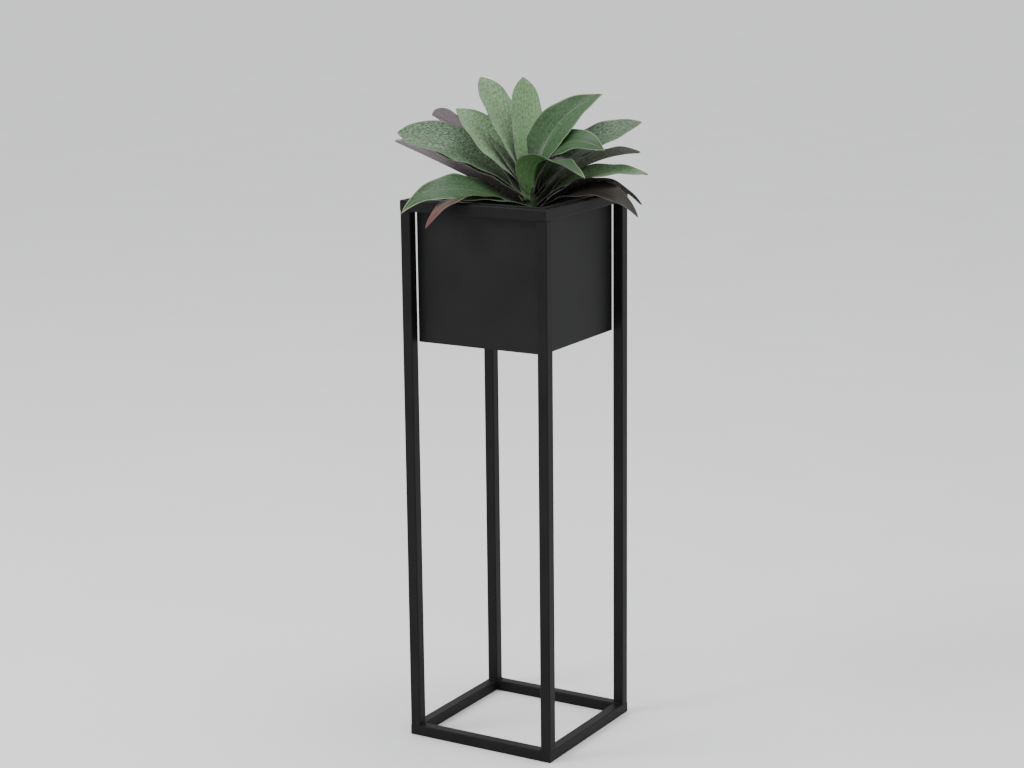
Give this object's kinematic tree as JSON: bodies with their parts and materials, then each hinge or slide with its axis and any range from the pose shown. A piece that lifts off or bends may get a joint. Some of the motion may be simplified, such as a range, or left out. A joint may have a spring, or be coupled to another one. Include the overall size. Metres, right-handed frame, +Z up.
{
  "type": "raised planter on legs",
  "caption": "Tall square-tube stand holding a drop-in sheet-steel planter box, with a plastic liner tub of soil and a broad-leaved rosette plant.",
  "frame": {"origin": "on the floor, under the middle of the stand's square base", "axes": "+Z up, -Y front, +X right; the stand's sides lie along X and Y"},
  "size_m": [0.3579, 0.3353, 0.9651],
  "materials": {
    "stand_powder_coat": "satin black powder coat",
    "box_powder_coat": "satin black powder coat over folded sheet steel",
    "weld_bead": "powder-coated weld bead",
    "liner_plastic": "moulded black polypropylene",
    "potting_soil": "loose peat and bark mix",
    "plant_stem": "fibrous green stem",
    "leaf_blade": "waxy leaf, green above and purple-brown below"
  },
  "bodies": {
    "stand": {"base_rail_back": "stand_powder_coat", "base_rail_front": "stand_powder_coat", "base_rail_left": "stand_powder_coat", "base_rail_right": "stand_powder_coat", "base_welds": "weld_bead", "leg_back_left": "stand_powder_coat", "leg_back_right": "stand_powder_coat", "leg_front_left": "stand_powder_coat", "leg_front_right": "stand_powder_coat", "top_rail_back": "stand_powder_coat", "top_rail_front": "stand_powder_coat", "top_rail_left": "stand_powder_coat", "top_rail_right": "stand_powder_coat", "top_welds": "weld_bead"},
    "planter_box": {"box_floor": "box_powder_coat", "box_wall_back": "box_powder_coat", "box_wall_front": "box_powder_coat", "box_wall_left": "box_powder_coat", "box_wall_right": "box_powder_coat", "box_welds": "weld_bead"},
    "potted_plant": {"leaf_back_left": "leaf_blade", "leaf_back_low": "leaf_blade", "leaf_back_mid": "leaf_blade", "leaf_back_right": "leaf_blade", "leaf_centre_tall": "leaf_blade", "leaf_front_arch": "leaf_blade", "leaf_left_back": "leaf_blade", "leaf_left_high": "leaf_blade", "leaf_left_inner": "leaf_blade", "leaf_left_low": "leaf_blade", "leaf_left_mid": "leaf_blade", "leaf_left_red": "leaf_blade", "leaf_left_short": "leaf_blade", "leaf_left_wide": "leaf_blade", "leaf_right_arch": "leaf_blade", "leaf_right_bend": "leaf_blade", "leaf_right_droop": "leaf_blade", "leaf_right_high": "leaf_blade", "leaf_right_low": "leaf_blade", "leaf_right_mid": "leaf_blade", "leaf_upper_left": "leaf_blade", "leaf_upper_right": "leaf_blade", "liner_tub": "liner_plastic", "plant_crown": "plant_stem", "potting_soil": "potting_soil"}
  },
  "joints": [
    {"name": "box_lift", "type": "slide", "parent": "stand", "child": "planter_box", "axis": [0, 0, 1], "range_m": [0, 0.215]},
    {"name": "plant_lift", "type": "slide", "parent": "planter_box", "child": "potted_plant", "axis": [0, 0, 1], "range_m": [0, 0.215]}
  ]
}
